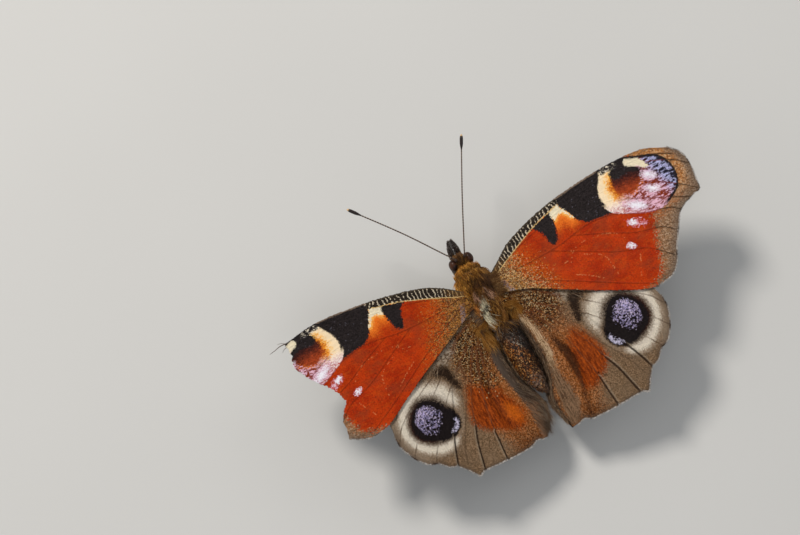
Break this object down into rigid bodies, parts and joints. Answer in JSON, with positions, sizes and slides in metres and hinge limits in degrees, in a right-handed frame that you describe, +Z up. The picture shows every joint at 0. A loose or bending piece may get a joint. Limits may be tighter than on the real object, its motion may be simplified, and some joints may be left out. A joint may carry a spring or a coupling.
{
  "type": "peacock butterfly",
  "caption": "Life-size peacock butterfly standing with its eyespotted rust-red wings spread and its feelers forward, a still natural-history display model.",
  "frame": {"origin": "On the floor under the middle of the box around the whole butterfly.", "axes": "+X runs to the butterfly's left, +Y towards its tail and +Z up; the head looks along -Y."},
  "size_m": [0.0596, 0.0432, 0.0137],
  "materials": {
    "wing_red": "matte scales, rust red with black, cream and violet marks",
    "wing_brown": "matte scales, brown with a black and violet eyespot in a pale ring",
    "body_hair": "long soft golden brown hair",
    "abdomen_scales": "dark scales flecked with orange and tan",
    "eye_brown": "glossy dark brown, finely faceted",
    "feeler_brown": "fine brown and pale rings, dark club with a pale tip",
    "leg_brown": "brown with short hairs"
  },
  "bodies": {
    "root": {"head": "body_hair", "thorax": "body_hair", "abdomen": "abdomen_scales", "proboscis": "feeler_brown", "eye_left": "eye_brown", "palp_left": "body_hair", "antenna_left": "feeler_brown", "forewing_left": "wing_red", "hindwing_left": "wing_brown", "foreleg_left": "leg_brown", "midleg_left": "leg_brown", "hindleg_left": "leg_brown", "eye_right": "eye_brown", "palp_right": "body_hair", "antenna_right": "feeler_brown", "forewing_right": "wing_red", "hindwing_right": "wing_brown", "foreleg_right": "leg_brown", "midleg_right": "leg_brown", "hindleg_right": "leg_brown"}
  },
  "joints": []
}
